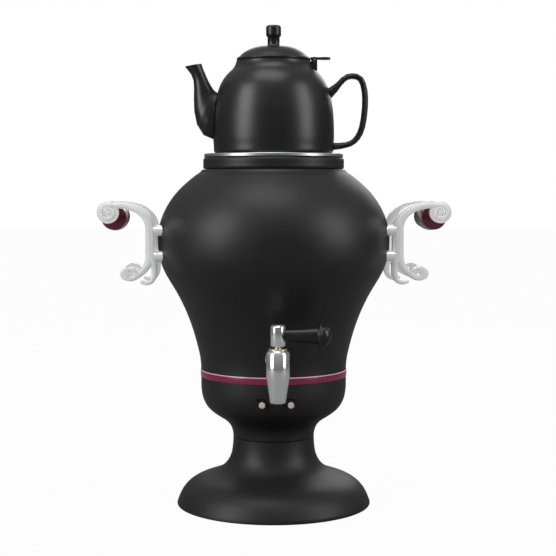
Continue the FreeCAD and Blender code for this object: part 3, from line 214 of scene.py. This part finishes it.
def object_coordinates(tree):
    """Places on the object, in its own frame."""
    return tree.nodes.new("ShaderNodeTexCoord").outputs["Object"]


def parted(tree, vector):
    """The three separate numbers of a vector."""
    node = tree.nodes.new("ShaderNodeSeparateXYZ")
    tree.links.new(vector, node.inputs["Vector"])
    return node.outputs


def between(tree, value, low, high, out_low, out_high):
    """A value's run from low to high, stretched over another range."""
    node = tree.nodes.new("ShaderNodeMapRange")
    for label, setting in (("From Min", low), ("From Max", high), ("To Min", out_low), ("To Max", out_high)):
        feed(tree, setting, node.inputs[label])
    tree.links.new(value, node.inputs["Value"])
    return node.outputs["Result"]


def mixed(tree, factor, first, second):
    """A colour between two others."""
    node = tree.nodes.new("ShaderNodeMix")
    node.data_type = "RGBA"
    tree.links.new(factor, node.inputs["Factor"])
    node.inputs["A"].default_value = (*first, 1)
    node.inputs["B"].default_value = (*second, 1)
    return node.outputs["Result"]


def blend_shaders(tree, factor, first, second, target):
    """Two shaders mixed by a factor and linked into a target socket."""
    blend = tree.nodes.new("ShaderNodeMixShader")
    tree.links.new(factor, blend.inputs["Fac"])
    tree.links.new(first, blend.inputs[1])
    tree.links.new(second, blend.inputs[2])
    tree.links.new(blend.outputs["Shader"], target)


def handling_marks():
    """Faint smudges and cloudy polish: a roughness that drifts over the surface."""
    tree, source, sink = group_of("handling_marks", [("Scale", 9.0), ("Low", 0.3), ("High", 0.45)],
                                  [("Roughness", "NodeSocketFloat"), ("Mask", "NodeSocketFloat")])
    place = object_coordinates(tree)
    broad = noise(tree, source.outputs["Scale"], 4, 0.6, place)
    fine = noise(tree, math_node(tree, "MULTIPLY", source.outputs["Scale"], FINE_RATIO), 3, 0.6, place)
    blend = math_node(tree, "ADD", math_node(tree, "MULTIPLY", broad, BROAD_SHARE),
                      math_node(tree, "MULTIPLY", fine, FINE_SHARE))
    tree.links.new(between(tree, blend, *GLOSS_SPAN, source.outputs["Low"], source.outputs["High"]),
                   sink.inputs["Roughness"])
    tree.links.new(between(tree, blend, *SHADE_SPAN, 0.0, 1.0), sink.inputs["Mask"])
    return tree


def pebbled_coat():
    """The tiny pebbles of a sprayed or moulded finish, as a height."""
    tree, source, sink = group_of("pebbled_coat", [("Scale", 900.0), ("Waves", 55.0)],
                                  [("Height", "NodeSocketFloat")])
    place = object_coordinates(tree)
    grain = noise(tree, source.outputs["Scale"], 2, 0.5, place)
    wave = noise(tree, source.outputs["Waves"], 1, 0.4, place)
    tree.links.new(math_node(tree, "ADD", grain, math_node(tree, "MULTIPLY", wave, WAVE_SHARE)),
                   sink.inputs["Height"])
    return tree


def turned_lines():
    """Fine lines round the upright axis, as left by brushing on a lathe."""
    tree, source, sink = group_of("turned_lines", [("Fineness", 900.0)], [("Lines", "NodeSocketFloat")])
    place = parted(tree, object_coordinates(tree))
    square = math_node(tree, "ADD", math_node(tree, "MULTIPLY", place["X"], place["X"]),
                       math_node(tree, "MULTIPLY", place["Y"], place["Y"]))
    radius = math_node(tree, "SQRT", square)
    join = tree.nodes.new("ShaderNodeCombineXYZ")
    for value, label in ((radius, "X"), (place["Z"], "Z")):
        tree.links.new(math_node(tree, "MULTIPLY", value, source.outputs["Fineness"]), join.inputs[label])
    tree.links.new(noise(tree, 1.0, 3, 0.7, join.outputs["Vector"]), sink.inputs["Lines"])
    return tree


MARKS = handling_marks()
PEBBLES = pebbled_coat()
LINES = turned_lines()


def add_group(tree, group, **values):
    """A node group placed in a material, with values of its own."""
    node = tree.nodes.new("ShaderNodeGroup")
    node.node_tree = group
    for label, value in values.items():
        node.inputs[label].default_value = value
    return node


def bump(tree, shader, height, strength, distance):
    """Small heights that tilt the surface's light."""
    node = tree.nodes.new("ShaderNodeBump")
    node.inputs["Strength"].default_value = strength
    node.inputs["Distance"].default_value = distance
    tree.links.new(height, node.inputs["Height"])
    tree.links.new(node.outputs["Normal"], shader.inputs["Normal"])


def coated(name, dark, light, low, high, scale, grain, strength, **settings):
    """A painted or moulded finish: two close shades, drifting gloss and a pebbled skin."""
    material, tree, shader = new_material(name, dark, low, **settings)
    marks = add_group(tree, MARKS, Scale=scale, Low=low, High=high)
    tree.links.new(marks.outputs["Roughness"], shader.inputs["Roughness"])
    tree.links.new(mixed(tree, marks.outputs["Mask"], dark, light), shader.inputs["Base Color"])
    skin = add_group(tree, PEBBLES, Scale=grain)
    bump(tree, shader, skin.outputs["Height"], strength, PEBBLE_HEIGHT)
    return material


def metal(name, colour, tint, low, high, scale, brushed=0.0, fineness=900.0, metallic=1.0):
    """Bare or plated metal, polished or brushed round the axis."""
    material, tree, shader = new_material(name, colour, low, metallic=metallic)
    marks = add_group(tree, MARKS, Scale=scale, Low=low, High=high)
    tree.links.new(mixed(tree, marks.outputs["Mask"], colour, tint), shader.inputs["Base Color"])
    if brushed:
        lines = add_group(tree, LINES, Fineness=fineness)
        rough = math_node(tree, "ADD", marks.outputs["Roughness"],
                          math_node(tree, "MULTIPLY", lines.outputs["Lines"], LINE_ROUGHNESS))
        tree.links.new(rough, shader.inputs["Roughness"])
        bump(tree, shader, lines.outputs["Lines"], brushed, LINE_HEIGHT)
    else:
        tree.links.new(marks.outputs["Roughness"], shader.inputs["Roughness"])
        skin = add_group(tree, PEBBLES, Scale=POLISH_GRAIN, Waves=POLISH_WAVES)
        bump(tree, shader, skin.outputs["Height"], POLISH_STRENGTH, PEBBLE_HEIGHT)
    return material


def arm_chrome_with_painted_glow():
    """Chrome of the arms, pale and a little bright because the photograph shows it nearly white: a near-white
    base that is only partly metal, a painted reflection, and a painted glow though the arms are no lamp.
    """
    # Painted reflection: a near-white base that is only 0.40 metal, so most of it shows as white paint
    material = metal("chrome_with_painted_reflection_and_glow", (0.97, 0.972, 0.975), (0.93, 0.935, 0.94), low=0.14, high=0.20,
                     scale=16.0, metallic=0.40)
    shader = material.node_tree.nodes["Principled BSDF"]
    # Painted glow: the arms give off white light though they are no lamp
    shader.inputs["Emission Color"].default_value = (1, 1, 1, 1)
    shader.inputs["Emission Strength"].default_value = ARM_PAINTED_GLOW
    return material


def light_band_material():
    """Crimson light guide that glows, with a painted highlight in its colour and its glow along its upper
    edge, where it meets the body.
    """
    material, tree, shader = new_material("crimson_light_band", (0.20, 0.010, 0.045), 0.22, specular=0.5,
                                          coat=0.3)
    place = parted(tree, object_coordinates(tree))
    # Painted highlight: towards its upper edge the ring turns pale pink in colour and in glow, as if the edge
    # caught the light
    edge = between(tree, place["Z"], (BODY_Z - PAINTED_HIGHLIGHT_START) * MM, (BODY_Z - PAINTED_HIGHLIGHT_FULL) * MM, 0.0, 1.0)
    marks = add_group(tree, MARKS, Scale=30.0, Low=0.16, High=0.28)
    tree.links.new(marks.outputs["Roughness"], shader.inputs["Roughness"])
    # Colour and glow below, and at the painted highlight on the upper edge
    for label, below, above in (("Base Color", (0.13, 0.008, 0.032), (0.55, 0.27, 0.32)),
                                ("Emission Color", (0.055, 0.004, 0.014), (0.42, 0.22, 0.26))):
        tree.links.new(mixed(tree, edge, below, above), shader.inputs[label])
    shader.inputs["Emission Strength"].default_value = RING_GLOW
    return material


def button_material():
    """Pale pink resin of the push buttons."""
    material, tree, shader = new_material("button_resin", (0.55, 0.46, 0.46), 0.25, specular=0.5, coat=0.4)
    marks = add_group(tree, MARKS, Scale=60.0, Low=0.2, High=0.32)
    tree.links.new(marks.outputs["Roughness"], shader.inputs["Roughness"])
    tree.links.new(mixed(tree, marks.outputs["Mask"], (0.50, 0.36, 0.38), (0.62, 0.50, 0.50)),
                   shader.inputs["Base Color"])
    return material


# Finishes. The gloss drifts from low to high, scale sets how small its smudges are, and grain and strength
# set how fine and how marked the pebbled skin is.
SATIN_BLACK = coated("satin_black_coat", (0.0085, 0.0085, 0.0090), (0.0115, 0.0115, 0.0119), low=0.40,
                     high=0.49, scale=7.0, grain=1500.0, strength=0.10, specular=0.36)
SHELL_BLACK = coated("black_moulding", (0.0085, 0.0085, 0.0090), (0.0112, 0.0112, 0.0117), low=0.42,
                     high=0.52, scale=8.0, grain=1300.0, strength=0.14, specular=0.34)
POT_BLACK = coated("black_pot_coat", (0.0068, 0.0068, 0.0072), (0.0092, 0.0092, 0.0096), low=0.30,
                   high=0.38, scale=9.0, grain=1700.0, strength=0.10, specular=0.44)
PHENOLIC = coated("black_phenolic", (0.007, 0.007, 0.0075), (0.010, 0.010, 0.0104), low=0.28,
                  high=0.38, scale=14.0, grain=1100.0, strength=0.06, specular=0.45)
BURGUNDY = coated("burgundy_gloss", (0.105, 0.0035, 0.016), (0.150, 0.006, 0.026), low=0.14,
                  high=0.22, scale=12.0, grain=400.0, strength=0.02, specular=0.5, coat=0.5,
                  coat_roughness=0.06)
RUBBER = coated("foot_rubber", (0.012, 0.012, 0.012), (0.020, 0.020, 0.020), low=0.75, high=0.9,
                scale=20.0, grain=900.0, strength=0.3)
SILICONE = coated("silicone_seal", (0.42, 0.40, 0.37), (0.50, 0.48, 0.45), low=0.5, high=0.62,
                  scale=25.0, grain=800.0, strength=0.1)
BOARD = coated("circuit_board", (0.02, 0.10, 0.04), (0.03, 0.16, 0.06), low=0.35, high=0.5,
               scale=160.0, grain=900.0, strength=0.2)
LAMP = coated("lamp_resin", (0.75, 0.70, 0.60), (0.85, 0.80, 0.72), low=0.2, high=0.3,
              scale=30.0, grain=700.0, strength=0.05)
# Arm chrome with a painted reflection and a painted glow
PAINTED_GLOW_CHROME = arm_chrome_with_painted_glow()
# Painted reflection on the tap: only 0.88 metal over a near-white base, so a little white paint stands in for
# reflection
TAP_CHROME_PAINTED_REFLECTION = metal("tap_chrome_with_painted_reflection", (0.90, 0.905, 0.91), (0.82, 0.825, 0.835), low=0.10, high=0.17,
                   scale=20.0, metallic=0.88)
STEEL = metal("brushed_steel", (0.50, 0.505, 0.51), (0.43, 0.435, 0.44), low=0.24, high=0.34,
              scale=12.0, brushed=0.25, fineness=1400.0)
ALUMINIUM = metal("cast_aluminium", (0.60, 0.61, 0.62), (0.50, 0.51, 0.52), low=0.40, high=0.55, scale=30.0)
BRASS = metal("turned_brass", (0.68, 0.50, 0.20), (0.58, 0.41, 0.16), low=0.18, high=0.32,
              scale=25.0, brushed=0.15, fineness=1200.0)
BAND = light_band_material()
BUTTON = button_material()
SLOT_FINISH = {
    "black_body": SATIN_BLACK, "black_shell": SHELL_BLACK, "black_pot": POT_BLACK, "black_plastic": PHENOLIC,
    "crimson_light": BAND, "burgundy": BURGUNDY, "chrome": PAINTED_GLOW_CHROME, "steel": STEEL, "aluminium": ALUMINIUM,
    "brass": BRASS, "seal": SILICONE, "foot_rubber": RUBBER, "button": BUTTON, "board": BOARD, "led": LAMP,
}


def finish_cad_nodes():
    """Every solid takes the finish of its slot, which shows on those that no piece replaces."""
    for part in frame["record"]["subparts"]:
        node = frame["nodes"][part["node"]]
        material = SLOT_FINISH[part["material_slot"]]
        if not node.material_slots:
            node.data.materials.append(material)
        for slot in node.material_slots:
            slot.material = material


def light_guide():
    """The light ring as one turned band with eased outer edges."""
    inner, bottom, outer = LIGHT_RADIUS - LIGHT_DEPTH, BOWL_Z + LIGHT_GAP, LIGHT_RADIUS - LIGHT_ROUND
    outline = [(inner, bottom), (outer, bottom)]
    for turn in EDGE_TURNS:
        angle = math.radians(turn)
        outline.append((LIGHT_RADIUS - LIGHT_ROUND * (1 - math.cos(angle)),
                        bottom + LIGHT_ROUND * (1 + math.sin(angle))))
    outline += [(radius, BOWL_Z + BODY_Z - height) for radius, height in outline[::-1]]
    bm = bmesh.new()
    verts = [bm.verts.new((radius * MM, 0, height * MM)) for radius, height in outline]
    edges = [bm.edges.new(pair) for pair in zip(verts, verts[1:] + verts[:1])]
    bmesh.ops.spin(bm, geom=verts + edges, cent=(0, 0, 0), axis=(0, 0, 1), angle=2 * math.pi,
                   steps=LIGHT_STEPS, use_merge=True)
    bmesh.ops.remove_doubles(bm, verts=bm.verts, dist=SEAM_REACH)
    bmesh.ops.recalc_face_normals(bm, faces=bm.faces)
    return finish_piece("light_guide", bm, "root", BAND, ["light_ring"], LIGHT_SHARP)


def dress():
    """Smooth copies of the main solids seen from outside, and the turned light guide."""
    for node in ("body_shell", "neck_collar"):
        refined(node, SATIN_BLACK)
    for node in ("foot_shell", "lower_bowl"):
        refined(node, SHELL_BLACK)
    for node in ("pot_body", "pot_lid"):
        refined(node, POT_BLACK)
    for node in ("pot_spout", "pot_handle"):
        refined(node, POT_BLACK, sharp=62)
    refined("lid_knob", PHENOLIC, sharp=40)
    light_guide()
    refined("tank_lid", STEEL)
    for node in ("right_grip", "left_grip"):
        refined(node, BURGUNDY, sharp=40)
    for node in ("right_front_arm", "right_rear_arm", "left_front_arm", "left_rear_arm"):
        refined(node, PAINTED_GLOW_CHROME, sharp=34, flat=0.5, edge=0.7, segments=3)
    for node in ("tap_body", "tap_gland_nut"):
        refined(node, TAP_CHROME_PAINTED_REFLECTION, sharp=34)
    refined("tap_cap", TAP_CHROME_PAINTED_REFLECTION, sharp=30, flat=0.5, edge=0.25)
    refined("tap_lever", PHENOLIC, sharp=46)
    refined("tap_saddle", TAP_CHROME_PAINTED_REFLECTION, flat=0.5, edge=0.3)
    for node in ("hinge_bracket", "thumb_tab"):
        refined(node, POT_BLACK, flat=0.5, edge=0.35)
    for node in ("boil_button", "keep_warm_button"):
        refined(node, BUTTON, flat=0.5, edge=0.25, segments=3)
    refined("mains_inlet", PHENOLIC, flat=0.5, edge=0.3)
    refined("rubber_foot_ring", RUBBER)


# Camera, lights and floor
def set_camera():
    """The photograph's view, with the object's axis on its own column of the frame."""
    data = bpy.data.cameras.new("camera")
    data.sensor_width = SENSOR
    data.lens = SENSOR * FOCAL_PIXELS / FRAME_PIXELS
    data.shift_x = (FRAME_PIXELS / 2 - AXIS_COLUMN) / FRAME_PIXELS
    camera = placed("camera", data)
    across, along = math.sin(CAMERA_AZIMUTH), math.cos(CAMERA_AZIMUTH)
    camera.location = (-CAMERA_DISTANCE * across, -CAMERA_DISTANCE * along, CAMERA_HEIGHT)
    look = Vector((across * math.cos(CAMERA_PITCH), along * math.cos(CAMERA_PITCH), -math.sin(CAMERA_PITCH)))
    camera.rotation_euler = look.to_track_quat("-Z", "Y").to_euler()
    bpy.context.scene.camera = camera


def softbox(name, place, target, width, height, power):
    """A large soft lamp that faces a target."""
    data = bpy.data.lights.new(name, "AREA")
    data.shape = "RECTANGLE"
    data.size = width
    data.size_y = height
    data.energy = power
    lamp = placed(name, data)
    lamp.location = place
    lamp.rotation_euler = (Vector(target) - Vector(place)).to_track_quat("-Z", "Y").to_euler()


def set_world():
    """White to the camera; for everything else a room that is pale above and dark below."""
    world = bpy.data.worlds.new("studio")
    world.use_nodes = True
    tree = world.node_tree
    tree.nodes.clear()
    output = tree.nodes.new("ShaderNodeOutputWorld")
    room = tree.nodes.new("ShaderNodeBackground")
    direction = parted(tree, tree.nodes.new("ShaderNodeTexCoord").outputs["Generated"])
    tree.links.new(between(tree, direction["Z"], ROOM_START, ROOM_FULL, ROOM_LOW, ROOM_HIGH),
                   room.inputs["Strength"])
    white = tree.nodes.new("ShaderNodeBackground")
    white.inputs["Strength"].default_value = 1.0
    for background in (room, white):
        background.inputs["Color"].default_value = (1, 1, 1, 1)
    rays = tree.nodes.new("ShaderNodeLightPath")
    blend_shaders(tree, rays.outputs["Is Camera Ray"], room.outputs["Background"],
                  white.outputs["Background"], output.inputs["Surface"])
    bpy.context.scene.world = world


def set_floor():
    """A grey floor that is nearly all white to the camera."""
    bm = bmesh.new()
    bmesh.ops.create_grid(bm, x_segments=1, y_segments=1, size=FLOOR_REACH)
    mesh = bpy.data.meshes.new("floor")
    bm.to_mesh(mesh)
    bm.free()
    floor = placed("floor", mesh)
    material, tree, shader = new_material("pale_floor", (0.22, 0.22, 0.22), 0.8, specular=0.1)
    white = tree.nodes.new("ShaderNodeEmission")
    white.inputs["Color"].default_value = (1, 1, 1, 1)
    white.inputs["Strength"].default_value = 1.0
    rays = tree.nodes.new("ShaderNodeLightPath")
    share = math_node(tree, "MULTIPLY", rays.outputs["Is Camera Ray"], FLOOR_WHITE)
    blend_shaders(tree, share, shader.outputs["BSDF"], white.outputs["Emission"],
                  tree.nodes["Material Output"].inputs["Surface"])
    floor.data.materials.append(material)


finish_cad_nodes()
dress()
set_camera()
for settings in SOFTBOXES:
    softbox(*settings)
set_world()
set_floor()
bpy.context.scene.view_settings.view_transform = "Standard"
